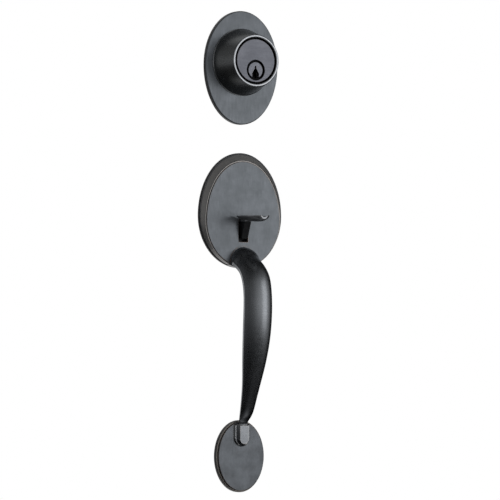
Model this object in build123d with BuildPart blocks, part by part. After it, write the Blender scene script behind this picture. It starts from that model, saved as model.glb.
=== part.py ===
from build123d import *
import math
import os

os.makedirs("parts", exist_ok=True)

# Entry door handleset, outside trim: a key cylinder unit above, a thumb latch plate with a
# long pull below it, and a small rosette at the foot of the pull.
# Millimetres. X to the right, Y into the door, Z up. The door's face is Y = 0 and the origin
# is the centre of the latch bore. "Reach" is a distance out from the door's face, towards -Y.

# Where the units stand on the door
deadbolt_z = 139.7
plug_drop = 8.9
rosette_z = -230.9

# Clearances: a tight seat, a running fit, a seat left open, a hole for a screw, free air
snug = 0.02
running = 0.05
seat_gap = 0.10
screw_gap = 0.20
free_gap = 0.35

# Deadbolt plate
dead_plate_half_w = 38.9
dead_plate_up = 51.5
dead_plate_down = 55.7
dead_plate_drop = 3.0
dead_plate_t = 4.5
dead_plate_edge = 1.0
dead_plate_wall = 2.2
dead_plate_hole_r = 20.5
register_h = 1.8

# Tapered collar round the key cylinder
collar_base_r = 31.1
collar_bead = 0.6
collar_wall = 8.1
collar_nose_r = 24.4
collar_length = 27.2
collar_lip_depth = 6.0
collar_edge = 1.1

# Key cylinder
face_r = 20.3
face_groove = 1.5
face_set_back = 0.7
flange_t = 2.4
barrel_r = 8.4
tower_half_w = 3.6
tower_h = 16.8
lug_r = 4.6
lug_spacing = 28.6
web_t = 3.4
cylinder_rear = 1.5
screw_thread_r = 2.1
lug_thread_depth = 14.0
cylinder_edge = 0.4

# Plug, pins and tail
plug_head_r = 7.7
plug_head_t = 3.2
plug_r = 5.8
plug_set_back = 0.5
plug_groove_r = 9.4
plug_groove_depth = 1.8
keyway_recess = 1.5
keyway_stop = 3.5
plug_neck_r = 4.6
plug_neck_length = 4.0
pin_r = 1.45
pin_pitch = 3.97
pin_lengths = [5.3, 6.5, 4.8, 5.9, 7.0]
first_pin = 5.6
driver_length = 4.4
pin_bevel = 0.5
cover_t = 1.0
cover_margin = 2.5
cover_half_w = 1.9
spring_wire = 0.4
spring_turns = 4
tail_width = 7.0
tail_t = 2.0
tail_length = 46.0
tail_head_w = 8.5
tail_head_length = 3.1
tail_bevel = 1.5
cap_wall = 1.9
cap_lip = 1.2
cap_edge = 0.5

# Handle plate: an egg outline, its face a smaller egg set low on it
plate_half_w = 44.3
plate_up = 59.2
plate_down = 49.1
plate_widest_z = -5.0
plate_rim = 3.2
plate_edge = 0.7
plate_ledge = 1.0
low_share = 0.35
face_half_w = 39.3
face_up = 55.2
face_down = 43.8
face_widest_z = -9.2
plate_reach = 8.5
face_step = 1.0
face_lip = 0.9
face_edge = 0.4
plate_face_t = 2.8
pocket_wall = 2.6

# Thumb slot and pivot
slot_half_w = 5.15
slot_top_z = -8.0
slot_bottom_z = -29.8
pivot_reach = 3.0
pivot_z = -14.0
pivot_pin_r = 1.5
pivot_eye_r = 3.5
lug_width = 4.0
plate_eye_r = 2.6
eye_block = 8.0
sink = 0.3

# Thumb piece
neck_width = 6.8
neck_out_top = 10.0
neck_out_low = 3.2
neck_slot_gap = 2.8
neck_toe = 1.4
pad_half_w = 11.0
pad_heel_reach = 12.0
pad_tip_reach = 48.3
pad_top_z = -5.3
pad_depth = 5.4
pad_edge = 1.0
pad_hollow = 0.5
bar_in = 4.4
bar_t = 3.0
bar_up = 1.2
bar_down = 3.2
finger_in_x = 4.95
finger_width = 4.1
nose_r = 2.0
nose_depth = 7.0

# Spindle and its cam
spindle_side = 6.35
spindle_length = 56.0
spindle_edge = 0.8
spindle_head_out = 0.2
spindle_head_t = 1.5
stud_r = 1.75
stud_throw = 6.8
stud_rest_deg = 15.0
cam_t = 2.0
cam_hub_r = 6.2
cam_rim = 0.9
cam_arm_w = 4.0
cam_foot_w = 5.2
cam_foot_h = 3.0
cam_foot_out = 3.4
stud_end = 1.0
cam_play = 0.3
case_depth = 12.8
case_sheet = 1.2
case_post_gap = 1.45
flange_w = 6.5
bearing_r = 5.4
clip_t = 0.9
clip_out = 1.4
clip_in = 0.5
clip_mouth = 2.4
clip_play = 0.15
return_arm = 9.0
return_spring_r = 2.6
return_spring_wire = 0.7
return_spring_turns = 5
return_spring_z = -14.0
spring_tab_w = 6.8
spring_tab_h = 4.6
spring_tab_out = 6.4
case_edge = 1.4

# Mounting posts and screws
post_spacing = 34.9
post_r = 4.4
post_tail_r = 3.3
post_tail = 4.0
post_edge = 0.5
post_seat = 1.5
post_seat_r = 2.7
post_thread_stop = 2.0
case_screw_x = 13.0
case_screw_z = 14.0
boss_r = 3.6
screw_r = 1.9
screw_head_r = 3.6
screw_head_t = 2.0
screw_head_edge = 0.8
screw_length = 9.0
cross_w = 1.0
cross_depth = 1.25
grip_screw_x = 6.0
grip_screw_z = -45.0
grip_screw_r = 2.4
grip_screw_head_r = 4.2
grip_screw_length = 10.0

# Pull grip: root on the plate, widest reach, and foot on the rosette
root_z = -46.0
root_pad_half_w = 13.9
root_pad_up = 12.5
root_pad_down = 10.0
root_pad_flare = 1.2
root_pad_rise = 0.6
grip_reach = 38.3
foot_z = -204.5
grip_half_w = 14.7
side_share = 0.27
back_share = 0.18
back_width_share = 0.97
crease_share = 0.05
front_rise = 0.62
root_rise = 0.28
root_share = 0.17
foot_flat = 0.40
foot_share = 0.75

# Foot of the pull and the rosette under it
tab_half_w = 4.4
tab_reach = 12.4
tab_bottom_z = -219.2
foot_half_w = 6.0
foot_step = 1.7
flange_half_w = 8.6
flange_top_half_w = 7.4
foot_bottom_z = -221.9
foot_top_z = -200.6
rosette_half_w = 25.8
rosette_half_h = 33.8
rosette_rim = 4.4
rosette_reach = 6.6
rosette_step = 1.4
rosette_wall = 2.2
rosette_edge = 0.8
rosette_face_edge = 0.4
foot_stud_r = 2.9
foot_stud_depth = 4.4
foot_post_r = 3.9
foot_post_length = 12.0
foot_stud_z = -210.5
foot_thread_length = 11.0

flange_r = collar_base_r - collar_wall
plug_z = deadbolt_z - plug_drop
collar_front = dead_plate_t + collar_length
cylinder_front = collar_front - face_set_back
plug_front = cylinder_front - plug_set_back
lip_back = collar_front - collar_lip_depth
flange_back = lip_back - flange_t
pocket_floor = plate_reach - plate_face_t
case_r = post_spacing / 2 + post_r + case_post_gap + case_sheet
flange_out_r = case_r + flange_w
root_reach = plate_reach + root_pad_rise


def facing(reach, z=0.0, x=0.0):
    """Plane parallel to the door at this reach; sketch x is X, sketch y is Z, out is -Y."""
    return Plane(origin=(x, -reach, z), x_dir=(1, 0, 0), z_dir=(0, -1, 0))


def egg(plane, half_w, up, down):
    """Face bounded by two half ellipses that share their widest line."""
    with BuildSketch(plane) as outline:
        with BuildLine():
            EllipticalCenterArc((0, 0), half_w, up, 0, arc_size=180)
            EllipticalCenterArc((0, 0), half_w, down, 180, arc_size=180)
        make_face()
    return outline.sketch


# Deadbolt unit

with BuildPart() as deadbolt_plate:
    dead_plate_z = deadbolt_z - dead_plate_drop
    dead_outline = egg(
        facing(0, dead_plate_z),
        dead_plate_half_w,
        dead_plate_up,
        dead_plate_down,
    )
    extrude(dead_outline, amount=dead_plate_t)
    fillet(deadbolt_plate.edges().group_by(Axis.Y)[0], dead_plate_edge)
    dead_pocket = egg(
        facing(0, dead_plate_z),
        dead_plate_half_w - 3 * dead_plate_wall,
        dead_plate_up - 3 * dead_plate_wall,
        dead_plate_down - 3 * dead_plate_wall,
    )
    extrude(dead_pocket, amount=dead_plate_t - dead_plate_wall, mode=Mode.SUBTRACT)
    # Raised ring that centres the collar, and the hole for the cylinder
    with BuildSketch(facing(dead_plate_t, deadbolt_z)):
        Circle(flange_r)
    extrude(amount=register_h)
    with BuildSketch(facing(0, deadbolt_z)):
        Circle(dead_plate_hole_r)
    extrude(amount=dead_plate_t + register_h, mode=Mode.SUBTRACT)
deadbolt_plate.part.label = "deadbolt_plate"
export_step(deadbolt_plate.part, "parts/deadbolt_plate.step")

collar_bore_r = face_r + face_groove
collar_inner_r = flange_r + seat_gap
with BuildPart() as deadbolt_collar:
    axis_plane = Plane(origin=(0, 0, deadbolt_z), x_dir=(1, 0, 0), z_dir=(0, 0, 1))
    with BuildSketch(axis_plane):
        with BuildLine():
            Polyline(
                (collar_bore_r, -lip_back),
                (collar_bore_r, -collar_front),
                (collar_nose_r, -collar_front),
                (collar_base_r, -dead_plate_t - 2 * collar_bead),
                (collar_base_r + collar_bead, -dead_plate_t - collar_bead),
                (collar_base_r + collar_bead, -dead_plate_t),
                (collar_inner_r, -dead_plate_t),
                (collar_inner_r, -lip_back),
                close=True,
            )
        make_face()
    revolve(axis=Axis((0, 0, deadbolt_z), (0, 1, 0)))
    fillet(deadbolt_collar.edges().group_by(Axis.Y)[0], collar_edge)
deadbolt_collar.part.label = "deadbolt_collar"
export_step(deadbolt_collar.part, "parts/deadbolt_collar.step")

chamber_reaches = [plug_front - first_pin - i * pin_pitch for i in range(len(pin_lengths))]
shell_bore_r = plug_r + running
head_bore_r = plug_head_r + running
tower_top_z = plug_z + tower_h
cover_z = tower_top_z - cover_t
head_shoulder = plug_front - plug_head_t
cover_front = chamber_reaches[0] + cover_margin
cover_back = chamber_reaches[-1] - cover_margin

with BuildPart() as cylinder_body:
    with BuildSketch(facing(lip_back, deadbolt_z)):
        Circle(face_r)
    extrude(amount=cylinder_front - lip_back)
    chamfer(cylinder_body.edges().group_by(Axis.Y)[0], cylinder_edge)
    with BuildSketch(facing(flange_back, deadbolt_z)):
        Circle(flange_r)
    extrude(amount=flange_t)
    with BuildSketch(facing(cylinder_rear, plug_z)):
        Circle(barrel_r)
        with Locations((0, tower_h / 2)):
            Rectangle(2 * tower_half_w, tower_h)
        with Locations((0, plug_drop)):
            Rectangle(lug_spacing, web_t)
        with GridLocations(lug_spacing, 0, 2, 1):
            with Locations((0, plug_drop)):
                Circle(lug_r)
    extrude(amount=flange_back - cylinder_rear)
    with BuildSketch(facing(cylinder_front - plug_groove_depth, plug_z)):
        Circle(plug_groove_r)
    extrude(amount=plug_groove_depth, mode=Mode.SUBTRACT)
    with BuildSketch(facing(head_shoulder, plug_z)):
        Circle(head_bore_r)
    extrude(amount=plug_head_t + plug_groove_depth, mode=Mode.SUBTRACT)
    with BuildSketch(facing(cylinder_rear, plug_z)):
        Circle(shell_bore_r)
    extrude(amount=head_shoulder - cylinder_rear, mode=Mode.SUBTRACT)
    with BuildSketch(Plane.XY.offset(plug_z)):
        with Locations(*[(0, -reach) for reach in chamber_reaches]):
            Circle(pin_r + running)
    extrude(amount=tower_h, mode=Mode.SUBTRACT)
    with BuildSketch(Plane.XY.offset(cover_z)):
        with Locations((0, -(cover_front + cover_back) / 2)):
            Rectangle(2 * (cover_half_w + running), cover_front - cover_back)
    extrude(amount=cover_t, mode=Mode.SUBTRACT)
    with BuildSketch(facing(cylinder_rear, deadbolt_z)):
        with GridLocations(lug_spacing, 0, 2, 1):
            Circle(screw_thread_r)
    extrude(amount=lug_thread_depth, mode=Mode.SUBTRACT)
cylinder_body.part.label = "cylinder_body"
export_step(cylinder_body.part, "parts/cylinder_body.step")

# The plug, its keyway open to the bottom, drilled from above for the pins
keyway_depth = plug_front - cylinder_rear - keyway_stop
pin_top_z = plug_z + math.sqrt(plug_r**2 - pin_r**2)
lowest_pin = pin_top_z - max(pin_lengths)
with BuildPart() as key_plug:
    with BuildSketch(facing(head_shoulder + running, plug_z)):
        Circle(plug_head_r)
    extrude(amount=plug_front - head_shoulder - running)
    with BuildSketch(facing(cylinder_rear, plug_z)):
        Circle(plug_r)
    extrude(amount=head_shoulder + running - cylinder_rear)
    with BuildSketch(facing(cylinder_rear - plug_neck_length, plug_z)):
        Circle(plug_neck_r)
    extrude(amount=plug_neck_length)
    with BuildSketch(facing(plug_front, plug_z)):
        with BuildLine():
            Polyline(
                (-0.9, 3.0),
                (-0.9, 0.9),
                (-2.0, 0.1),
                (-2.2, -2.2),
                (-1.4, -3.0),
                (-1.7, -plug_head_r - 0.2),
                (1.7, -plug_head_r - 0.2),
                (1.9, -4.2),
                (1.2, -3.4),
                (1.8, -2.4),
                (1.6, -0.2),
                (0.9, 0.6),
                (0.9, 3.0),
            )
            ThreePointArc((0.9, 3.0), (0, 3.9), (-0.9, 3.0))
        make_face()
    extrude(amount=-keyway_depth, mode=Mode.SUBTRACT)
    # Funnel milled round the keyway's lower half
    with BuildSketch(facing(plug_front, plug_z)):
        with BuildLine():
            Polyline(
                (-1.3, 1.0),
                (1.3, 1.0),
                (3.8, -3.4),
                (3.4, -plug_head_r - 0.2),
                (-3.4, -plug_head_r - 0.2),
                (-3.8, -3.4),
                close=True,
            )
        make_face()
    extrude(amount=-keyway_recess, mode=Mode.SUBTRACT)
    with BuildSketch(Plane.XY.offset(lowest_pin - free_gap)):
        with Locations(*[(0, -reach) for reach in chamber_reaches]):
            Circle(pin_r + running)
    extrude(amount=2 * plug_r, mode=Mode.SUBTRACT)
    with BuildSketch(facing(cylinder_rear - plug_neck_length, plug_z)):
        Rectangle(tail_t + 2 * running, 2 * plug_r)
    extrude(amount=tail_head_length + seat_gap, mode=Mode.SUBTRACT)
key_plug.part.label = "key_plug"
export_step(key_plug.part, "parts/key_plug.step")

with BuildPart() as key_pins:
    for reach, length in zip(chamber_reaches, pin_lengths):
        with BuildSketch(Plane(origin=(0, -reach, pin_top_z - length), x_dir=(1, 0, 0), z_dir=(0, -1, 0))):
            with BuildLine():
                Polyline(
                    (0, 0),
                    (pin_r, 0.7 * pin_r),
                    (pin_r, length),
                    (0, length),
                    close=True,
                )
            make_face()
        revolve(axis=Axis((0, -reach, pin_top_z), (0, 0, 1)))
key_pins.part.label = "key_pins"
export_step(key_pins.part, "parts/key_pins.step")

driver_z = plug_z + plug_r + running
with BuildPart() as driver_pins:
    for reach in chamber_reaches:
        with BuildSketch(Plane(origin=(0, -reach, driver_z), x_dir=(1, 0, 0), z_dir=(0, -1, 0))):
            with BuildLine():
                Polyline(
                    (0, 0),
                    (pin_r, 0),
                    (pin_r, driver_length - pin_bevel),
                    (pin_r - pin_bevel, driver_length),
                    (0, driver_length),
                    close=True,
                )
            make_face()
        revolve(axis=Axis((0, -reach, driver_z), (0, 0, 1)))
driver_pins.part.label = "driver_pins"
export_step(driver_pins.part, "parts/driver_pins.step")

spring_bottom = driver_z + driver_length
spring_height = cover_z - spring_bottom - spring_wire - seat_gap
with BuildPart() as pin_springs:
    for reach in chamber_reaches:
        coil_foot = (0, -reach, spring_bottom + spring_wire / 2 + seat_gap / 2)
        with BuildLine():
            pin_coil = Helix(
                spring_height / spring_turns,
                spring_height,
                pin_r - spring_wire,
                center=coil_foot,
            )
        with BuildSketch(Plane(origin=pin_coil @ 0, z_dir=pin_coil % 0)):
            RegularPolygon(spring_wire / 2, 4)
        sweep(path=pin_coil, is_frenet=True)
pin_springs.part.label = "pin_springs"
export_step(pin_springs.part, "parts/pin_springs.step")

with BuildPart() as chamber_cover:
    with BuildSketch(Plane.XY.offset(cover_z)):
        with Locations((0, -(cover_front + cover_back) / 2)):
            Rectangle(2 * cover_half_w, cover_front - cover_back - seat_gap)
    extrude(amount=cover_t)
chamber_cover.part.label = "chamber_cover"
export_step(chamber_cover.part, "parts/chamber_cover.step")

cap_front = cylinder_rear - seat_gap
cap_back = cylinder_rear - plug_neck_length - cap_lip
with BuildPart() as plug_cap:
    with BuildSketch(facing(cap_back, plug_z)):
        Circle(plug_neck_r + cap_wall)
    extrude(amount=cap_front - cap_back)
    chamfer(plug_cap.edges().group_by(Axis.Y)[-1], cap_edge)
    with BuildSketch(facing(cap_back + cap_lip, plug_z)):
        Circle(plug_neck_r + running)
    extrude(amount=cap_front - cap_back, mode=Mode.SUBTRACT)
    with BuildSketch(facing(cap_back, plug_z)):
        Circle(math.hypot(tail_width, tail_t) / 2 + free_gap)
    extrude(amount=cap_lip, mode=Mode.SUBTRACT)
plug_cap.part.label = "plug_cap"
export_step(plug_cap.part, "parts/plug_cap.step")

with BuildPart() as tailpiece:
    with BuildSketch(facing(cap_back + cap_lip, plug_z)):
        Rectangle(tail_t, tail_head_w)
    extrude(amount=tail_head_length)
    with BuildSketch(facing(cap_back + cap_lip, plug_z)):
        Rectangle(tail_t, tail_width)
    extrude(amount=-tail_length)
    chamfer(tailpiece.faces().sort_by(Axis.Y)[-1].edges().filter_by(Axis.X), tail_bevel)
tailpiece.part.label = "tailpiece"
export_step(tailpiece.part, "parts/tailpiece.step")

# Handle plate

with BuildPart() as handle_plate:
    plate_outline = egg(facing(0, plate_widest_z), plate_half_w, plate_up, plate_down)
    extrude(plate_outline, amount=plate_rim)
    fillet(handle_plate.edges().group_by(Axis.Y)[0], plate_edge)
    slope_foot = egg(
        facing(plate_rim, plate_widest_z),
        plate_half_w - plate_ledge,
        plate_up - plate_ledge,
        plate_down - low_share * plate_ledge,
    )
    slope_top = egg(
        facing(plate_reach - face_step, face_widest_z),
        face_half_w + face_lip,
        face_up + face_lip,
        face_down + low_share * face_lip,
    )
    loft([slope_foot, slope_top])
    face_foot = facing(plate_reach - face_step, face_widest_z)
    extrude(egg(face_foot, face_half_w, face_up, face_down), amount=face_step - face_edge)
    face_rim = egg(
        facing(plate_reach - face_edge, face_widest_z),
        face_half_w,
        face_up,
        face_down,
    )
    face_front = egg(
        facing(plate_reach, face_widest_z),
        face_half_w - face_edge,
        face_up - face_edge,
        face_down - face_edge,
    )
    loft([face_rim, face_front])
    # Raised pad under the root of the pull, trimmed to the plate's outline
    with BuildSketch(facing(plate_rim, root_z)):
        with BuildLine():
            ThreePointArc((-root_pad_half_w, 0), (0, root_pad_up), (root_pad_half_w, 0))
            Polyline(
                (root_pad_half_w, 0),
                (root_pad_half_w + root_pad_flare, -root_pad_down),
                (-root_pad_half_w - root_pad_flare, -root_pad_down),
                (-root_pad_half_w, 0),
            )
        make_face()
    extrude(amount=root_reach - plate_rim)
    extrude(plate_outline, amount=root_reach, mode=Mode.INTERSECT)
    pocket = egg(
        facing(0, face_widest_z),
        face_half_w - pocket_wall,
        face_up - pocket_wall,
        face_down - pocket_wall,
    )
    extrude(pocket, amount=pocket_floor, mode=Mode.SUBTRACT)
    # Bosses for the case screws, and two eyes for the thumb pivot
    with BuildSketch(facing(pocket_floor + sink, case_screw_z)):
        with GridLocations(2 * case_screw_x, 0, 2, 1):
            Circle(boss_r)
    extrude(amount=-(pocket_floor + sink + case_depth - case_sheet))
    for side in (-1, 1):
        with BuildSketch(Plane.YZ.offset(side * (slot_half_w + lug_width / 2))):
            with Locations((-pivot_reach, pivot_z)):
                Circle(plate_eye_r)
            with Locations((-(pivot_reach + pocket_floor + sink) / 2, pivot_z)):
                Rectangle(pocket_floor + sink - pivot_reach, eye_block)
        extrude(amount=lug_width / 2, both=True)
    with BuildSketch(facing(pocket_floor, (slot_top_z + slot_bottom_z) / 2)):
        Rectangle(2 * slot_half_w, slot_top_z - slot_bottom_z)
    extrude(amount=plate_face_t, mode=Mode.SUBTRACT)
    with BuildSketch(Plane.YZ.offset(-(slot_half_w + lug_width))):
        with Locations((-pivot_reach, pivot_z)):
            Circle(pivot_pin_r + snug)
    extrude(amount=2 * (slot_half_w + lug_width), mode=Mode.SUBTRACT)
    with BuildSketch(facing(root_reach, grip_screw_z)):
        with GridLocations(2 * grip_screw_x, 0, 2, 1):
            Circle(grip_screw_r + screw_gap)
    extrude(amount=-plate_face_t - root_pad_rise, mode=Mode.SUBTRACT)
    with BuildSketch(facing(pocket_floor, 0)):
        with GridLocations(post_spacing, 0, 2, 1):
            Circle(post_seat_r + snug)
    extrude(amount=post_seat + seat_gap, mode=Mode.SUBTRACT)
    with BuildSketch(facing(-case_depth + case_sheet, case_screw_z)):
        with GridLocations(2 * case_screw_x, 0, 2, 1):
            Circle(screw_r)
    extrude(amount=screw_length + sink, mode=Mode.SUBTRACT)
handle_plate.part.label = "handle_plate"
export_step(handle_plate.part, "parts/handle_plate.step")

# Pull grip: the line of its right crease, as shares of the half width, the widest reach and
# the drop, carries sections that stand square to it, from the plate down to the foot.
crease_points = [
    (0.883, 0.000, 0.000),
    (0.937, 0.186, 0.014),
    (0.944, 0.495, 0.046),
    (0.982, 0.814, 0.098),
    (0.988, 0.972, 0.178),
    (1.000, 1.000, 0.330),
    (0.942, 0.898, 0.495),
    (0.790, 0.727, 0.640),
    (0.590, 0.503, 0.783),
    (0.444, 0.212, 0.922),
    (0.302, 0.065, 1.000),
]
out_span = grip_reach - root_reach
drop_span = foot_z - root_z
grip_spans = 18
with BuildLine() as crease:
    Spline(
        *[
            (w * grip_half_w, -root_reach - r * out_span, root_z + d * drop_span)
            for w, r, d in crease_points
        ],
        tangents=[(0.1, -1, 0), (-0.12, 0.24, -0.96)],
    )
with BuildPart() as grip:
    for i in range(grip_spans + 1):
        t = i / grip_spans
        spot = crease.line @ t
        along = crease.line % t
        section = Plane(
            origin=(0, spot.Y, spot.Z),
            x_dir=(1, 0, 0),
            z_dir=(0, along.Y, along.Z) if i else (0, -1, 0),
        )
        # The front is fuller at the root and flatter at the foot
        rise = front_rise + root_rise * max(0, 1 - t / root_share) ** 2
        rise -= foot_flat * max(0, (t - foot_share) / (1 - foot_share)) ** 2
        p = spot.X
        side = side_share * p
        bevel = crease_share * p
        with BuildSketch(section):
            with BuildLine():
                ThreePointArc((-p + bevel, bevel), (0, rise * p), (p - bevel, bevel))
                Polyline((p - bevel, bevel), (p, -bevel), (back_width_share * p, -side))
                ThreePointArc(
                    (back_width_share * p, -side),
                    (0, -side - back_share * p),
                    (-back_width_share * p, -side),
                )
                Polyline((-back_width_share * p, -side), (-p, -bevel), (-p + bevel, bevel))
            make_face()
    loft()
    # Foot: a flange and a tapered block, both round at the bottom, that land on the rosette
    with BuildSketch(facing(rosette_reach, foot_bottom_z + flange_half_w)):
        Circle(flange_half_w)
        with Locations((0, (foot_top_z - foot_bottom_z - flange_half_w) / 2)):
            Rectangle(2 * flange_half_w, foot_top_z - foot_bottom_z - flange_half_w)
    flange_slope = math.degrees(math.atan2(flange_half_w - flange_top_half_w, foot_step))
    extrude(amount=foot_step, taper=flange_slope)
    taper_in = foot_half_w - tab_half_w
    block_low_z = tab_bottom_z - taper_in + foot_half_w
    with BuildSketch(facing(rosette_reach + foot_step, block_low_z)):
        Circle(foot_half_w)
        with Locations((0, (foot_top_z - block_low_z) / 2)):
            Rectangle(2 * foot_half_w, foot_top_z - block_low_z)
    block_t = tab_reach - rosette_reach - foot_step
    extrude(amount=block_t, taper=math.degrees(math.atan2(taper_in, block_t)))
    with BuildSketch(facing(root_reach, grip_screw_z)):
        with GridLocations(2 * grip_screw_x, 0, 2, 1):
            Circle(grip_screw_r + snug)
    grip_hole_depth = grip_screw_length - plate_face_t - root_pad_rise + free_gap
    extrude(amount=grip_hole_depth, mode=Mode.SUBTRACT)
    with BuildSketch(facing(rosette_reach, foot_stud_z)):
        Circle(foot_stud_r + snug)
    extrude(amount=foot_stud_depth, mode=Mode.SUBTRACT)
grip.part.label = "grip"
export_step(grip.part, "parts/grip.step")

with BuildPart() as grip_screws:
    with BuildSketch(facing(pocket_floor, grip_screw_z)):
        with GridLocations(2 * grip_screw_x, 0, 2, 1):
            Circle(grip_screw_head_r)
    extrude(amount=-screw_head_t)
    fillet(grip_screws.edges().group_by(Axis.Y)[-1], screw_head_edge)
    with BuildSketch(facing(pocket_floor, grip_screw_z)):
        with GridLocations(2 * grip_screw_x, 0, 2, 1):
            Circle(grip_screw_r)
    extrude(amount=grip_screw_length)
    with BuildSketch(facing(pocket_floor - screw_head_t, grip_screw_z)):
        with GridLocations(2 * grip_screw_x, 0, 2, 1):
            Rectangle(grip_screw_head_r, cross_w)
            Rectangle(cross_w, grip_screw_head_r)
    extrude(amount=cross_depth, mode=Mode.SUBTRACT)
grip_screws.part.label = "grip_screws"
export_step(grip_screws.part, "parts/grip_screws.step")

# Thumb piece: a dished pad, a neck through the slot, an eye on the pivot and a finger
# that lifts the stud of the spindle cam

stud_x = -stud_throw * math.cos(math.radians(stud_rest_deg))
stud_z = -stud_throw * math.sin(math.radians(stud_rest_deg))
nose_z = stud_z - stud_r - seat_gap - nose_r
bar_top = pivot_z + bar_up
bar_low = pivot_z - bar_down
# Share of the way to the tip, of the half width, of the depth, and a drop as share of the depth
pad_stations = [
    (0.00, 0.86, 0.62, 0.00),
    (0.28, 0.98, 0.88, 0.02),
    (0.55, 1.00, 1.00, 0.06),
    (0.76, 0.88, 0.98, 0.09),
    (0.91, 0.64, 0.88, 0.08),
    (1.00, 0.30, 0.66, 0.04),
]
with BuildPart() as thumb_piece:
    for way, width_share, depth_share, drop_share in pad_stations:
        pad_side = width_share * pad_half_w
        pad_deep = depth_share * pad_depth
        pad_reach = pad_heel_reach + way * (pad_tip_reach - pad_heel_reach)
        with BuildSketch(facing(pad_reach, pad_top_z - drop_share * pad_depth)):
            with BuildLine():
                ThreePointArc((-pad_side, 0), (0, -pad_hollow * pad_deep), (pad_side, 0))
                Line((pad_side, 0), (pad_side, -pad_edge))
                ThreePointArc((pad_side, -pad_edge), (0, -pad_deep), (-pad_side, -pad_edge))
                Line((-pad_side, -pad_edge), (-pad_side, 0))
            make_face()
    loft()
    neck_top = pad_top_z - pad_hollow * pad_depth
    neck_front = plate_reach + neck_out_low
    neck_low = slot_bottom_z + neck_slot_gap
    with BuildSketch(Plane.YZ):
        with BuildLine():
            Polyline(
                (-plate_reach - neck_out_top, neck_top),
                (-neck_front, neck_low + 1.35 * neck_toe),
                (-neck_front + 0.35 * neck_toe, neck_low + 0.4 * neck_toe),
                (-neck_front + neck_toe, neck_low),
                (-pivot_reach - pivot_eye_r, neck_low + 0.35 * neck_toe),
                (-pivot_reach - 0.35 * pivot_eye_r, pivot_z - 2.3 * pivot_eye_r),
                (-pivot_reach + 0.45 * pivot_eye_r, bar_low),
                (bar_in, bar_low),
                (bar_in, bar_top),
                (-pivot_reach, bar_top + 0.6 * pivot_eye_r),
                (-plate_reach + 0.6 * pivot_eye_r, neck_top),
                close=True,
            )
        make_face()
    extrude(amount=neck_width / 2, both=True)
    with BuildSketch(Plane.YZ):
        with Locations((-pivot_reach, pivot_z)):
            Circle(pivot_eye_r)
    extrude(amount=slot_half_w - free_gap, both=True)
    with BuildSketch(Plane.YZ.offset(-finger_in_x - finger_width)):
        with Locations((bar_in - bar_t / 2, (bar_low + bar_top) / 2)):
            Rectangle(bar_t, bar_top - bar_low)
    extrude(amount=finger_in_x + finger_width + neck_width / 2)
    with BuildSketch(Plane.YZ.offset(-finger_in_x - finger_width)):
        with BuildLine():
            Polyline(
                (bar_in - bar_t, bar_low),
                (bar_in, bar_low),
                (nose_depth + nose_r, nose_z - nose_r / 2),
                (nose_depth + nose_r, nose_z),
                (nose_depth - nose_r, nose_z),
                (bar_in - bar_t, bar_top),
                close=True,
            )
        make_face()
        with Locations((nose_depth, nose_z)):
            Circle(nose_r)
    extrude(amount=finger_width)
    with BuildSketch(Plane.YZ):
        with Locations((-pivot_reach, pivot_z)):
            Circle(pivot_pin_r + running)
    extrude(amount=slot_half_w, both=True, mode=Mode.SUBTRACT)
thumb_piece.part.label = "thumb_piece"
export_step(thumb_piece.part, "parts/thumb_piece.step")

with BuildPart() as thumb_pivot_pin:
    with BuildSketch(Plane.YZ):
        with Locations((-pivot_reach, pivot_z)):
            Circle(pivot_pin_r)
    extrude(amount=slot_half_w + lug_width, both=True)
    chamfer(thumb_pivot_pin.edges().filter_by(GeomType.CIRCLE), sink)
thumb_pivot_pin.part.label = "thumb_pivot_pin"
export_step(thumb_pivot_pin.part, "parts/thumb_pivot_pin.step")

# Spindle cam with its stud, turning in the case

cam_front = case_depth - case_sheet - cam_t - cam_play
cam_back = cam_front + cam_t
journal_end = case_depth + clip_play + clip_t + cam_rim
with BuildPart() as spindle_cam:
    with BuildSketch(facing(-cam_back)):
        Circle(cam_hub_r)
        with BuildLine():
            Polyline(
                (0, cam_hub_r - cam_rim / 2),
                (stud_x - cam_rim, stud_z + stud_r + cam_rim),
                (stud_x - cam_rim, stud_z - stud_r - cam_rim / 2),
                (0, -cam_hub_r + cam_rim / 2),
                close=True,
            )
        make_face()
        with Locations((stud_x, stud_z)):
            Circle(stud_r + cam_rim)
        with Locations(((return_arm + cam_foot_w / 2) / 2, 0)):
            Rectangle(return_arm + cam_foot_w / 2, cam_arm_w)
    extrude(amount=cam_t)
    with BuildSketch(facing(-cam_front, stud_z, stud_x)):
        Circle(stud_r)
    extrude(amount=cam_front - stud_end)
    with BuildSketch(facing(-cam_front)):
        with Locations((return_arm, (cam_foot_h - cam_arm_w) / 2)):
            Rectangle(cam_foot_w, cam_foot_h)
    extrude(amount=cam_foot_out)
    with BuildSketch(facing(-cam_back)):
        Circle(bearing_r - running)
    extrude(amount=cam_back - journal_end)
    with BuildSketch(facing(-case_depth - clip_play)):
        Circle(bearing_r)
        Circle(bearing_r - clip_in, mode=Mode.SUBTRACT)
    extrude(amount=-clip_t - seat_gap, mode=Mode.SUBTRACT)
    with BuildSketch(facing(0)):
        Rectangle(spindle_side + 2 * snug, spindle_side + 2 * snug)
    extrude(amount=-journal_end, mode=Mode.SUBTRACT)
spindle_cam.part.label = "spindle_cam"
export_step(spindle_cam.part, "parts/spindle_cam.step")

with BuildPart() as spindle:
    with BuildSketch(facing(-cam_front)):
        Rectangle(spindle_side, spindle_side)
    extrude(amount=-spindle_length)
    chamfer(spindle.edges().group_by(Axis.Y)[-1], spindle_edge)
    with BuildSketch(facing(-cam_front)):
        Circle(spindle_side / math.sqrt(2) + spindle_head_out)
    extrude(amount=spindle_head_t)
spindle.part.label = "spindle"
export_step(spindle.part, "parts/spindle.step")

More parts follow.
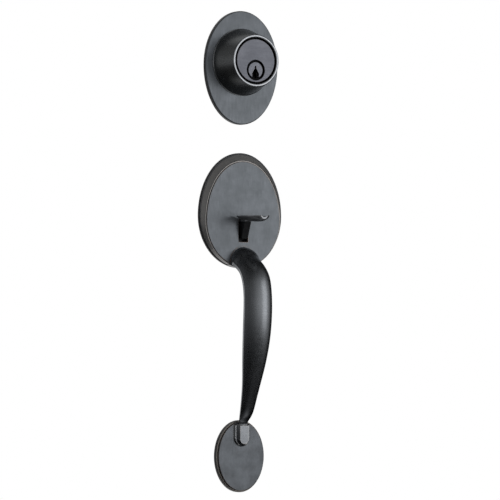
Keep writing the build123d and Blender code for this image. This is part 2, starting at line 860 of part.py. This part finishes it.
with BuildPart() as spindle_clip:
    with BuildSketch(facing(-case_depth - clip_play - seat_gap / 2)):
        Circle(bearing_r + clip_out)
        Circle(bearing_r - clip_in + snug, mode=Mode.SUBTRACT)
        with Locations((0, -bearing_r)):
            Rectangle(clip_mouth, 1.8 * bearing_r, mode=Mode.SUBTRACT)
    extrude(amount=-clip_t)
spindle_clip.part.label = "spindle_clip"
export_step(spindle_clip.part, "parts/spindle_clip.step")

with BuildPart() as return_spring:
    spring_y = cam_front - cam_rim
    spring_top = -cam_arm_w / 2 - return_spring_wire / 2 - seat_gap
    spring_low = return_spring_z + return_spring_wire / 2 + seat_gap
    with BuildLine():
        return_coil = Helix(
            (spring_top - spring_low) / return_spring_turns,
            spring_top - spring_low,
            return_spring_r - return_spring_wire / 2,
            center=(return_arm, spring_y, spring_low),
        )
    with BuildSketch(Plane(origin=return_coil @ 0, z_dir=return_coil % 0)):
        RegularPolygon(return_spring_wire / 2, 6)
    sweep(path=return_coil, is_frenet=True)
return_spring.part.label = "return_spring"
export_step(return_spring.part, "parts/return_spring.step")

# Case: a pressed cup in the latch bore that carries the cam, with a flange inside the plate

with BuildPart() as mechanism_case:
    with BuildSketch(facing(0)):
        Circle(case_r)
    extrude(amount=-case_depth)
    fillet(mechanism_case.edges().group_by(Axis.Y)[-1], case_edge)
    with BuildSketch(facing(case_sheet)):
        Circle(flange_out_r)
    extrude(amount=-case_sheet)
    with BuildSketch(facing(case_sheet)):
        Circle(case_r - case_sheet)
    extrude(amount=-case_depth, mode=Mode.SUBTRACT)
    with BuildSketch(facing(-case_depth)):
        Circle(bearing_r)
        with GridLocations(post_spacing, 0, 2, 1):
            Circle(post_tail_r + running)
        with Locations((0, case_screw_z)):
            with GridLocations(2 * case_screw_x, 0, 2, 1):
                Circle(screw_r + screw_gap)
        with Locations((return_arm, return_spring_z + spring_tab_h / 2)):
            Rectangle(spring_tab_w, spring_tab_h)
    extrude(amount=case_sheet, mode=Mode.SUBTRACT)
    with BuildSketch(facing(-case_depth + case_sheet)):
        with Locations((return_arm, return_spring_z - case_sheet / 2)):
            Rectangle(spring_tab_w, case_sheet)
    extrude(amount=spring_tab_out)
mechanism_case.part.label = "mechanism_case"
export_step(mechanism_case.part, "parts/mechanism_case.step")

with BuildPart() as case_screws:
    with BuildSketch(facing(-case_depth, case_screw_z)):
        with GridLocations(2 * case_screw_x, 0, 2, 1):
            Circle(screw_head_r)
    extrude(amount=-screw_head_t)
    fillet(case_screws.edges().group_by(Axis.Y)[-1], screw_head_edge)
    with BuildSketch(facing(-case_depth, case_screw_z)):
        with GridLocations(2 * case_screw_x, 0, 2, 1):
            Circle(screw_r - snug)
    extrude(amount=screw_length)
    with BuildSketch(facing(-case_depth - screw_head_t, case_screw_z)):
        with GridLocations(2 * case_screw_x, 0, 2, 1):
            Rectangle(screw_head_r, cross_w)
            Rectangle(cross_w, screw_head_r)
    extrude(amount=cross_depth, mode=Mode.SUBTRACT)
case_screws.part.label = "case_screws"
export_step(case_screws.part, "parts/case_screws.step")

with BuildPart() as mounting_posts:
    with BuildSketch(facing(pocket_floor)):
        with GridLocations(post_spacing, 0, 2, 1):
            Circle(post_r)
    extrude(amount=-pocket_floor - case_depth + case_sheet)
    with BuildSketch(facing(pocket_floor + post_seat)):
        with GridLocations(post_spacing, 0, 2, 1):
            Circle(post_seat_r)
    extrude(amount=-post_seat)
    with BuildSketch(facing(-case_depth + case_sheet)):
        with GridLocations(post_spacing, 0, 2, 1):
            Circle(post_tail_r)
    extrude(amount=-case_sheet - post_tail)
    chamfer(mounting_posts.edges().group_by(Axis.Y)[-1], post_edge)
    with BuildSketch(facing(-case_depth - post_tail)):
        with GridLocations(post_spacing, 0, 2, 1):
            Circle(screw_thread_r)
    extrude(amount=case_depth + post_tail + pocket_floor - post_thread_stop, mode=Mode.SUBTRACT)
mounting_posts.part.label = "mounting_posts"
export_step(mounting_posts.part, "parts/mounting_posts.step")

# Rosette and foot post

with BuildPart() as rosette:
    with BuildSketch(facing(0, rosette_z)):
        Ellipse(rosette_half_w, rosette_half_h)
    extrude(amount=rosette_rim)
    fillet(rosette.edges().group_by(Axis.Y)[0], rosette_edge)
    with BuildSketch(facing(0, rosette_z)):
        Ellipse(rosette_half_w - rosette_step, rosette_half_h - rosette_step)
    extrude(amount=rosette_reach)
    chamfer(rosette.edges().group_by(Axis.Y)[0], rosette_face_edge)
    with BuildSketch(facing(0, rosette_z)):
        Ellipse(rosette_half_w - 2 * rosette_wall, rosette_half_h - 2 * rosette_wall)
    extrude(amount=rosette_reach - rosette_wall, mode=Mode.SUBTRACT)
    with BuildSketch(facing(0, foot_stud_z)):
        Circle(foot_stud_r + seat_gap)
    extrude(amount=rosette_reach, mode=Mode.SUBTRACT)
rosette.part.label = "rosette"
export_step(rosette.part, "parts/rosette.step")

with BuildPart() as foot_post:
    with BuildSketch(facing(rosette_reach - rosette_wall, foot_stud_z)):
        Circle(foot_post_r)
    extrude(amount=-(rosette_reach - rosette_wall) - foot_post_length)
    chamfer(foot_post.edges().group_by(Axis.Y)[-1], post_edge)
    with BuildSketch(facing(rosette_reach - rosette_wall, foot_stud_z)):
        Circle(foot_stud_r)
    extrude(amount=rosette_wall + foot_stud_depth - free_gap)
    with BuildSketch(facing(-foot_post_length, foot_stud_z)):
        Circle(screw_thread_r)
    extrude(amount=foot_thread_length, mode=Mode.SUBTRACT)
foot_post.part.label = "foot_post"
export_step(foot_post.part, "parts/foot_post.step")
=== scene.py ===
import math
import bpy
from mathutils import Matrix, Vector

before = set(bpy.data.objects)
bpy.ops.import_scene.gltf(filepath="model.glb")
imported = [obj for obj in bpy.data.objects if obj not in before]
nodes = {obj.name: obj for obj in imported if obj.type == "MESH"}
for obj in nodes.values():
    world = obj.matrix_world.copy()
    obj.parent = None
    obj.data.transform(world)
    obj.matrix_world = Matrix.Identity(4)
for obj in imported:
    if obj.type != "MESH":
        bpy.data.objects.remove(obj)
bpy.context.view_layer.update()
print("frame loaded:", len(nodes), "nodes")


def hexColour(code):
    # sRGB hex to the linear values that shaders take, with full alpha
    parts = [int(code[i:i + 2], 16) / 255 for i in (1, 3, 5)]
    return [c / 12.92 if c <= 0.04045 else ((c + 0.055) / 1.055) ** 2.4 for c in parts] + [1.0]


def addNode(tree, kind, links=None, **settings):
    # One node: settings that name a socket fill it, the others are the node's own options
    node = tree.nodes.new(kind)
    for name, value in settings.items():
        sockets = [s for s in node.inputs if s.name.lower() == name.replace("_", " ").lower() and s.enabled]
        if sockets:
            sockets[0].default_value = value
        else:
            setattr(node, name, value)
    for key, source in (links or {}).items():
        tree.links.new(source, node.inputs[key])
    return node


def newMaterial(name):
    # An empty node material and its tree
    material = bpy.data.materials.new(name)
    material.use_nodes = True
    material.node_tree.nodes.clear()
    return material, material.node_tree


def finishOn(nodeNames, material):
    # Gives the named solids of the frame this material, in every slot
    for name in nodeNames:
        mesh = nodes[name].data
        for i in range(len(mesh.materials)):
            mesh.materials[i] = material
        if not len(mesh.materials):
            mesh.materials.append(material)


# Oil-rubbed bronze: a dark chemical coat on cast brass, rubbed by hand. To the eye it is a satin
# blue grey with slow patches, coppery where it is rubbed; grooves get near black painted shade, and edges
# get light lines that are partly painted highlight.
bronze = {
    "copper": "#8a6a52",
    # light grey painted highlight, for the nose of the collar
    "paintedHighlight": "#a6a9ad",
    "paintedShade": "#0c0c0d",              # near black painted shade for grooves, bores and the keyway
    "grainMm": 0.35,                # fine sand of the coat, drawn coarser than real so that it shows
    "grainDeepMm": 0.06,
    "lineDeepMm": 0.08,             # depth of the brushed lines
    "mottleMm": 14.0,               # slow change of the patina
    "mottleRange": (0.35, 0.72),    # where the noise passes from coat to worn coat
    "speckRange": (0.68, 0.80),     # only the peaks of the grain show as thin specks
    "edgeMm": 0.45,                 # how far the edge rubbing and its painted highlight reach from an edge
    "edgeBend": (0.995, 0.90),      # cosine of the turn at which they start and are full
    "edgePatchy": (0.40, 0.58),     # part of the mottle in which they grow
    "edgeLeast": 0.25,              # share of it that the darkest patches keep
    "bandSoftMm": 0.12,             # soft border of a band
    "bandSide": (0.3, 0.6),         # how far a face turns to the door before its bands fade out
    "lineRange": (0.3, 0.7),        # part of the line noise that changes the gloss
    "glossSpread": (-0.05, 0.06),   # change of roughness along the lines
}


def mixColour(tree, factor, under, over):
    # Colour mix; under and over are sockets or colours
    mix = addNode(tree, "ShaderNodeMix", data_type="RGBA")
    tree.links.new(factor, mix.inputs[0])
    for slot, value in ((6, under), (7, over)):
        if isinstance(value, list):
            mix.inputs[slot].default_value = value
        else:
            tree.links.new(value, mix.inputs[slot])
    return mix.outputs[2]


def rangeOf(tree, value, low, high, toLow=0.0, toHigh=1.0):
    # Map a value between two limits, held at the ends
    span = addNode(tree, "ShaderNodeMapRange", {"Value": value}, interpolation_type="SMOOTHSTEP")
    span.inputs["From Min"].default_value = low
    span.inputs["From Max"].default_value = high
    span.inputs["To Min"].default_value = toLow
    span.inputs["To Max"].default_value = toHigh
    return span.outputs["Result"]


def bronzeMaterial(name, look):
    material, tree = newMaterial(name)
    place = addNode(tree, "ShaderNodeTexCoord")
    spot = place.outputs["Object"]
    axes = addNode(tree, "ShaderNodeSeparateXYZ", {"Vector": spot})
    mottle = addNode(tree, "ShaderNodeTexNoise", {"Vector": spot},
                     scale=1000 / bronze["mottleMm"], detail=4.0, roughness=0.6)
    grain = addNode(tree, "ShaderNodeTexNoise", {"Vector": spot},
                    scale=1000 / bronze["grainMm"], detail=2.0, roughness=0.5)
    stretched = addNode(tree, "ShaderNodeMapping", {"Vector": spot}, vector_type="POINT")
    stretched.inputs["Scale"].default_value = look["lines"]
    lines = addNode(tree, "ShaderNodeTexNoise", {"Vector": stretched.outputs["Vector"]},
                    scale=1.0, detail=3.0, roughness=0.55)
    tone = addNode(tree, "ShaderNodeValToRGB", {"Fac": mottle.outputs["Fac"]})
    tone.color_ramp.elements[0].position = bronze["mottleRange"][0]
    tone.color_ramp.elements[0].color = hexColour(look["coat"])
    tone.color_ramp.elements[1].position = bronze["mottleRange"][1]
    tone.color_ramp.elements[1].color = hexColour(look["worn"])
    colour = tone.outputs["Color"]
    # specks where the coat is thin
    thin = rangeOf(tree, grain.outputs["Fac"], *bronze["speckRange"], 0.0, look["specks"])
    colour = mixColour(tree, thin, colour, hexColour(bronze["copper"]))
    # rubbed edges, drawn as light lines that are partly painted highlight: where the normal of a rounded
    # edge leaves the true one
    eased = addNode(tree, "ShaderNodeBevel", radius=bronze["edgeMm"] / 1000, samples=6)
    shape = addNode(tree, "ShaderNodeNewGeometry")
    same = addNode(tree, "ShaderNodeVectorMath", {
        0: eased.outputs["Normal"],
        1: shape.outputs["Normal"],
    }, operation="DOT_PRODUCT")
    edge = rangeOf(tree, same.outputs["Value"], *bronze["edgeBend"], 0.0, look["edge"])
    patchy = rangeOf(tree, mottle.outputs["Fac"], *bronze["edgePatchy"], bronze["edgeLeast"], 1.0)
    rubAndGlint = addNode(tree, "ShaderNodeMath", {0: edge, 1: patchy}, operation="MULTIPLY")
    colour = mixColour(tree, rubAndGlint.outputs[0], colour, hexColour(look["edgeRubAndGlint"]))
    # bands of painted shade and painted highlight in mm: by depth from the door, or by distance from the
    # axis at height hubZ
    flatSpot = addNode(tree, "ShaderNodeVectorMath", {0: spot}, operation="MULTIPLY")
    flatSpot.inputs[1].default_value = (1, 0, 1)
    away = addNode(tree, "ShaderNodeVectorMath", {0: flatSpot.outputs[0]}, operation="DISTANCE")
    away.inputs[1].default_value = (0, 0, look.get("hubZ", 0.0))
    measures = {"depth": axes.outputs["Y"], "radius": away.outputs["Value"]}
    # the side that lies towards the door keeps its plain coat
    facing = addNode(tree, "ShaderNodeSeparateXYZ", {"Vector": place.outputs["Normal"]})
    outward = rangeOf(tree, facing.outputs["Y"], *bronze["bandSide"], 1.0, 0.0)
    soft = bronze["bandSoftMm"]
    for measure, low, high, code in look.get("bands", []):
        start = rangeOf(tree, measures[measure], (low - soft) / 1000, (low + soft) / 1000)
        stop = rangeOf(tree, measures[measure], (high - soft) / 1000, (high + soft) / 1000, 1.0, 0.0)
        both = addNode(tree, "ShaderNodeMath", {0: start, 1: stop}, operation="MULTIPLY")
        shown = addNode(tree, "ShaderNodeMath", {0: both.outputs[0], 1: outward}, operation="MULTIPLY")
        colour = mixColour(tree, shown.outputs[0], colour, hexColour(code))
    smoothest, roughest = (look["rough"] + change for change in bronze["glossSpread"])
    gloss = rangeOf(tree, lines.outputs["Fac"], *bronze["lineRange"], smoothest, roughest)
    fine = addNode(tree, "ShaderNodeBump", {"Height": grain.outputs["Fac"]},
                   strength=look["sand"], distance=bronze["grainDeepMm"] / 1000)
    scratch = addNode(tree, "ShaderNodeBump", {
        "Height": lines.outputs["Fac"],
        "Normal": fine.outputs["Normal"],
    }, strength=look["scratch"], distance=bronze["lineDeepMm"] / 1000)
    skin = addNode(tree, "ShaderNodeBsdfPrincipled", {
        "Base Color": colour,
        "Roughness": gloss,
        "Normal": scratch.outputs["Normal"],
    }, metallic=look["metallic"])
    addNode(tree, "ShaderNodeOutputMaterial", {"Surface": skin.outputs["BSDF"]})
    return material


def lineScales(x, y, z):
    # Noise scale per metre from the size of one streak along each axis, in mm
    return (1000 / x, 1000 / y, 1000 / z)


# Real brush lines are about 0.1 mm wide; they are drawn three to four times as wide so that they show
upright = lineScales(0.385, 0.385, 11.0)    # brushed up and down
across = lineScales(14.0, 0.42, 0.33)       # brushed from side to side
plain = lineScales(1.1, 1.1, 1.1)           # no direction

# Brushed bronze of flat castings: fine lines and a broad, soft sheen
flat = {
    "coat": "#606468", "worn": "#6d7176", "specks": 0.15, "edge": 0.9, "lines": upright,
    "edgeRubAndGlint": bronze["copper"], "rough": 0.38, "scratch": 0.22, "sand": 0.10, "metallic": 0.95,
}
# Buffed bronze of rounded castings: smooth, with clear highlights; its coat is painted lighter than on the
# flat castings as painted sheen, and its edges rubbed bright are partly painted highlight
cast = {
    "coat": "#7a7d81", "worn": "#84878b", "specks": 0.1, "edge": 1.0, "lines": plain,
    "edgeRubAndGlint": "#c6c3be", "rough": 0.28, "scratch": 0.04, "sand": 0.02, "metallic": 1.0,
}
# A band of painted light says what is measured (depth from the door, or radius from the axis), its limits in
# mm, its colour

# Deadbolt plate: painted shade on its edge draws a thin dark outline
plateBronze = bronzeMaterial("brushedBronzePlate", {
    **flat, "bands": [("depth", -3.6, 1.0, "#1d1d1e")],
})
# Rosette: its coat painted darker than the plates' as painted shade, painted shade on the step and on the
# edge, and a painted highlight as a thin light line on the ledge
rosetteBronze = bronzeMaterial("brushedBronzeRosette", {
    **flat, "coat": "#5a5d61",
    "bands": [
        ("depth", -6.1, -4.7, "#2a2a2b"), ("depth", -4.6, -4.1, "#918c87"), ("depth", -3.7, 1.0, "#201e1d"),
    ],
})
# Handle plate: painted shade on its edge and as a dark line under the raised face, a bevel lightened as
# painted sheen, and a painted highlight as a thin light line on the ledge
bevelledBronze = bronzeMaterial("brushedBronzeBevelledPlate", {
    **flat, "bands": [
        ("depth", -8.1, -7.8, "#1c1c1d"), ("depth", -7.7, -7.3, "#8c8987"),
        ("depth", -7.1, -3.6, "#a6a5a4"), ("depth", -3.2, 1.0, "#1d1d1e"),
    ],
})
# Pull: buffed bronze in the lighter painted-sheen coat, whose crest picks up one long highlight
gripBronze = bronzeMaterial("buffedBronzeGrip", cast)
# Thumb piece: its coat is painted lighter as painted sheen on the pad, and the neck is painted dark as shade
# under the pad
thumbBronze = bronzeMaterial("buffedBronzeThumbPiece", {
    **cast, "coat": "#94979b", "worn": "#9da0a4", "rough": 0.42, "edgeRubAndGlint": "#a19f9c", "hubZ": -0.0215,
    "bands": [("radius", -1.0, 11.3, "#3e3f41")],
})
# Collar: turned and buffed bronze, with painted highlights on the nose and on the bead at its base, and
# painted shade in its bore
collarBronze = bronzeMaterial("turnedBronzeCollar", {
    **cast, "coat": "#757778", "worn": "#7e8082", "hubZ": 0.1397,
    "bands": [
        ("depth", -33.0, -31.3, bronze["paintedHighlight"]), ("depth", -5.8, -5.0, "#a8abae"),
        ("radius", -1.0, 21.9, bronze["paintedShade"]),
    ],
})
# Cylinder face: brass with lines brushed across it, with painted shade on its parts behind the face and in
# the groove round the plug
faceBronze = bronzeMaterial("linedBronzeCylinder", {
    **flat, "coat": "#64666d", "worn": "#707279", "lines": across, "scratch": 0.40, "edge": 0.3,
    "hubZ": 0.1308, "bands": [("depth", -29.9, 1.0, bronze["paintedShade"]), ("radius", -1.0, 9.8, bronze["paintedShade"])],
})
# Plug: turned brass under the same coat, with painted shade round its head and inside the keyway
plugBronze = bronzeMaterial("turnedBronzePlug", {
    **flat, "coat": "#6a6c73", "worn": "#76787f", "lines": plain, "edge": 0.3, "hubZ": 0.1308,
    "bands": [("depth", -30.1, 5.0, bronze["paintedShade"]), ("radius", 7.35, 40.0, bronze["paintedShade"])],
})
print("bronze finishes made")


grit = {
    "toneRange": (0.3, 0.7),    # part of the noise that passes from shade to colour
    "glossSpread": 0.08,        # change of roughness with the grain
    "bump": 0.15,
    "deepMm": 0.05,
}


def plainMetal(name, look):
    # Turned, drawn, cast or plated metal with a fine grain in its colour and gloss
    material, tree = newMaterial(name)
    place = addNode(tree, "ShaderNodeTexCoord")
    grain = addNode(tree, "ShaderNodeTexNoise", {"Vector": place.outputs["Object"]},
                    scale=1000 / look["grainMm"], detail=3.0, roughness=0.6)
    tone = addNode(tree, "ShaderNodeValToRGB", {"Fac": grain.outputs["Fac"]})
    tone.color_ramp.elements[0].position = grit["toneRange"][0]
    tone.color_ramp.elements[0].color = hexColour(look["shade"])
    tone.color_ramp.elements[1].position = grit["toneRange"][1]
    tone.color_ramp.elements[1].color = hexColour(look["colour"])
    gloss = addNode(tree, "ShaderNodeMapRange", {"Value": grain.outputs["Fac"]})
    gloss.inputs["To Min"].default_value = look["rough"] - grit["glossSpread"]
    gloss.inputs["To Max"].default_value = look["rough"] + grit["glossSpread"]
    fine = addNode(tree, "ShaderNodeBump", {"Height": grain.outputs["Fac"]},
                   strength=grit["bump"], distance=grit["deepMm"] / 1000)
    skin = addNode(tree, "ShaderNodeBsdfPrincipled", {
        "Base Color": tone.outputs["Color"],
        "Roughness": gloss.outputs["Result"],
        "Normal": fine.outputs["Normal"],
    }, metallic=1.0)
    addNode(tree, "ShaderNodeOutputMaterial", {"Surface": skin.outputs["BSDF"]})
    return material


# Black oxide on steel: nearly black and dull, a little mottled
blackSteel = plainMetal("blackOxideSteel", {
    "colour": "#3a3a3c", "shade": "#262627", "rough": 0.42, "grainMm": 0.8,
})
# Zinc plate on drawn steel bar: pale, faintly blue, with soft spangle
platedSteel = plainMetal("zincPlatedSteel", {
    "colour": "#b9bdc4", "shade": "#9c9fa6", "rough": 0.32, "grainMm": 1.6,
})
# Spring wire: drawn bright, darker along its fine draw marks
springSteel = plainMetal("drawnSpringWire", {
    "colour": "#a3a5a8", "shade": "#7f8184", "rough": 0.30, "grainMm": 0.6,
})
# Turned brass: warm yellow, cleanly machined
turnedBrass = plainMetal("turnedBrass", {
    "colour": "#c9a45c", "shade": "#a98440", "rough": 0.30, "grainMm": 0.9,
})
# Cast zinc alloy: grey and matte, with the grain of the die
castZinc = plainMetal("castZinc", {
    "colour": "#a9acb1", "shade": "#8c8f95", "rough": 0.45, "grainMm": 1.1,
})

finishOn(["deadbolt_plate"], plateBronze)
finishOn(["rosette"], rosetteBronze)
finishOn(["handle_plate"], bevelledBronze)
finishOn(["grip"], gripBronze)
finishOn(["thumb_piece"], thumbBronze)
finishOn(["deadbolt_collar"], collarBronze)
finishOn(["cylinder_body"], faceBronze)
finishOn(["key_plug"], plugBronze)
finishOn(["grip_screws", "case_screws", "thumb_pivot_pin", "mechanism_case"], blackSteel)
finishOn(["spindle", "tailpiece"], platedSteel)
finishOn(["pin_springs", "return_spring", "spindle_clip"], springSteel)
finishOn(["key_pins", "driver_pins", "plug_cap", "chamber_cover"], turnedBrass)
finishOn(["spindle_cam", "mounting_posts", "foot_post"], castZinc)
print("finishes on the parts")

# Camera: a long lens from the left and a little below, as in the photograph
camera = {
    "turn": -29.5,          # degrees, as rise and roll
    "rise": -1.5,
    "roll": 0.25,
    "away": 3.632,          # metres from the target
    "target": (0.01210, 0.0, -0.0368),
    "lens": 277.2,          # mm, on a sensor 36 mm wide
    "sensor": 36.0,
    "clipEnd": 50.0,
}


def directionTo(turn, rise):
    # Unit direction from the object by compass angle (0 is the front, plus to the right) and height
    return Vector((math.sin(turn) * math.cos(rise), -math.cos(turn) * math.cos(rise), math.sin(rise)))


def placeCamera():
    turn, rise, roll = (math.radians(camera[k]) for k in ("turn", "rise", "roll"))
    back = directionTo(turn, rise)
    right = (-back).cross(Vector((0, 0, 1))).normalized()
    up = right.cross(-back)
    rightRolled = right * math.cos(roll) + up * math.sin(roll)
    upRolled = -right * math.sin(roll) + up * math.cos(roll)
    spot = Vector(camera["target"]) + back * camera["away"]
    data = bpy.data.cameras.new("photoCamera")
    data.lens = camera["lens"]
    data.sensor_width = camera["sensor"]
    data.clip_end = camera["clipEnd"]
    viewer = bpy.data.objects.new("photoCamera", data)
    bpy.context.collection.objects.link(viewer)
    viewer.matrix_world = Matrix((
        (rightRolled.x, upRolled.x, back.x, spot.x),
        (rightRolled.y, upRolled.y, back.y, spot.y),
        (rightRolled.z, upRolled.z, back.z, spot.z),
        (0, 0, 0, 1),
    ))
    bpy.context.scene.camera = viewer


placeCamera()
print("camera placed")

# Studio: one softbox in front and to the right, in a room whose mirrored walls are two lobes of light
studio = {
    "softboxes": [
        {"turn": 39.0, "rise": 4.5, "away": 0.75, "size": (0.46, 0.54), "power": 0.70},
    ],
    "aim": (0.0, 0.0, -0.03),
    "floorZ": -0.40,
    "floorRadius": 1.1,
    "floorColour": "#f2f2f0",
    "floorShade": "#eeeeec",
    "floorSpecks": 40.0,        # specks of the paint in a metre
    "floorRough": 0.9,
    "diffuse": 0.9,             # light of the room on matte surfaces
    # What the metal mirrors: each lobe by compass angle (0 is the front, plus to the right)
    # and by height over the horizon
    "lobes": [
        {
            "round": [(-180, 0.0), (-134, 0.25), (-74, 0.16), (-46, 0.25), (-28, 0.43), (-4, 0.76),
                      (20, 0.98), (44, 0.98), (62, 0.86), (80, 0.50), (96, 0.02), (180, 0.0)],
            "height": [(-90, 0.45), (-64, 0.35), (-47, 0.06), (-36, 0.03), (-24, 0.06), (-13, 0.25),
                       (-5, 1.0), (6, 1.0), (20, 0.6), (48, 0.20), (62, 0.05), (90, 0.50)],
        },
        {
            "round": [(-180, 0.85), (-166, 0.75), (-152, 0.45), (-138, 0.0),
                      (142, 0.0), (156, 0.80), (180, 0.85)],
            "height": [(-90, 0.3), (-55, 0.5), (-30, 1.0), (15, 1.0), (40, 0.6), (90, 0.5)],
        },
    ],
}


def placeSoftbox(number, box):
    # A rectangular lamp that faces the aim and isn't seen itself
    out = directionTo(math.radians(box["turn"]), math.radians(box["rise"]))
    data = bpy.data.lights.new(f"softbox{number}", "AREA")
    data.shape = "RECTANGLE"
    data.size, data.size_y = box["size"]
    data.energy = box["power"]
    lamp = bpy.data.objects.new(f"softbox{number}", data)
    bpy.context.collection.objects.link(lamp)
    lamp.visible_camera = False
    lamp.location = Vector(studio["aim"]) + out * box["away"]
    lamp.rotation_euler = out.to_track_quat("Z", "Y").to_euler()


for number, box in enumerate(studio["softboxes"]):
    placeSoftbox(number, box)

# Pale floor, matte paint: it takes the shadow and the metal doesn't mirror it
bpy.ops.mesh.primitive_circle_add(vertices=96, radius=studio["floorRadius"], fill_type="NGON",
                                  location=(0, 0, studio["floorZ"]))
floor = bpy.context.object
floor.name = "studioFloor"
floor.visible_glossy = False
paint, paintTree = newMaterial("matteFloorPaint")
speckle = addNode(paintTree, "ShaderNodeTexNoise", scale=studio["floorSpecks"], detail=2.0)
floorTone = addNode(paintTree, "ShaderNodeValToRGB", {"Fac": speckle.outputs["Fac"]})
floorTone.color_ramp.elements[0].color = hexColour(studio["floorShade"])
floorTone.color_ramp.elements[1].color = hexColour(studio["floorColour"])
floorSkin = addNode(paintTree, "ShaderNodeBsdfPrincipled", {"Base Color": floorTone.outputs["Color"]},
                    roughness=studio["floorRough"])
addNode(paintTree, "ShaderNodeOutputMaterial", {"Surface": floorSkin.outputs["BSDF"]})
floor.data.materials.append(paint)

# World: white to the camera, an even light on matte surfaces, the lobes to what mirrors
world = bpy.data.worlds.new("studioWorld")
bpy.context.scene.world = world
world.use_nodes = True
sky = world.node_tree
sky.nodes.clear()
path = addNode(sky, "ShaderNodeLightPath")
direction = addNode(sky, "ShaderNodeTexCoord")
skyAxes = addNode(sky, "ShaderNodeSeparateXYZ", {"Vector": direction.outputs["Generated"]})
ahead = addNode(sky, "ShaderNodeMath", {0: skyAxes.outputs["Y"]}, operation="MULTIPLY")
ahead.inputs[1].default_value = -1.0
compass = addNode(sky, "ShaderNodeMath", {0: skyAxes.outputs["X"], 1: ahead.outputs[0]}, operation="ARCTAN2")
lift = addNode(sky, "ShaderNodeMath", {0: skyAxes.outputs["Z"]}, operation="ARCSINE")


def greyByAngle(angle, stops, span):
    # Grey level along an angle; stops hold degrees and level, span is the widest angle
    share = addNode(sky, "ShaderNodeMapRange", {"Value": angle.outputs[0]})
    share.inputs["From Min"].default_value = -math.radians(span)
    share.inputs["From Max"].default_value = math.radians(span)
    ramp = addNode(sky, "ShaderNodeValToRGB", {"Fac": share.outputs["Result"]})
    ramp.color_ramp.interpolation = "EASE"
    while len(ramp.color_ramp.elements) < len(stops):
        ramp.color_ramp.elements.new(0.5)
    for stop, (degrees, level) in zip(ramp.color_ramp.elements, stops):
        stop.position = (degrees + span) / (2 * span)
        stop.color = (level, level, level, 1)
    return ramp


lobes = []
for lobe in studio["lobes"]:
    turned = greyByAngle(compass, lobe["round"], 180)
    raised = greyByAngle(lift, lobe["height"], 90)
    lobes.append(addNode(sky, "ShaderNodeMath", {0: turned.outputs["Color"], 1: raised.outputs["Color"]},
                         operation="MULTIPLY"))
mirrored = addNode(sky, "ShaderNodeMath", {0: lobes[0].outputs[0], 1: lobes[1].outputs[0]}, operation="ADD")
white = addNode(sky, "ShaderNodeBackground", color=(1, 1, 1, 1), strength=1.0)
soft = addNode(sky, "ShaderNodeBackground", color=(1, 1, 1, 1), strength=studio["diffuse"])
room = addNode(sky, "ShaderNodeBackground", {"Strength": mirrored.outputs[0]}, color=(1, 1, 1, 1))
lit = addNode(sky, "ShaderNodeMixShader", {
    0: path.outputs["Is Glossy Ray"],
    1: soft.outputs[0],
    2: room.outputs[0],
})
clear = addNode(sky, "ShaderNodeMath", {
    0: path.outputs["Is Camera Ray"],
    1: path.outputs["Is Transmission Ray"],
}, operation="MAXIMUM")
seen = addNode(sky, "ShaderNodeMixShader", {0: clear.outputs[0], 1: lit.outputs[0], 2: white.outputs[0]})
addNode(sky, "ShaderNodeOutputWorld", {"Surface": seen.outputs[0]})
bpy.context.scene.view_settings.view_transform = "Standard"
print("studio set")
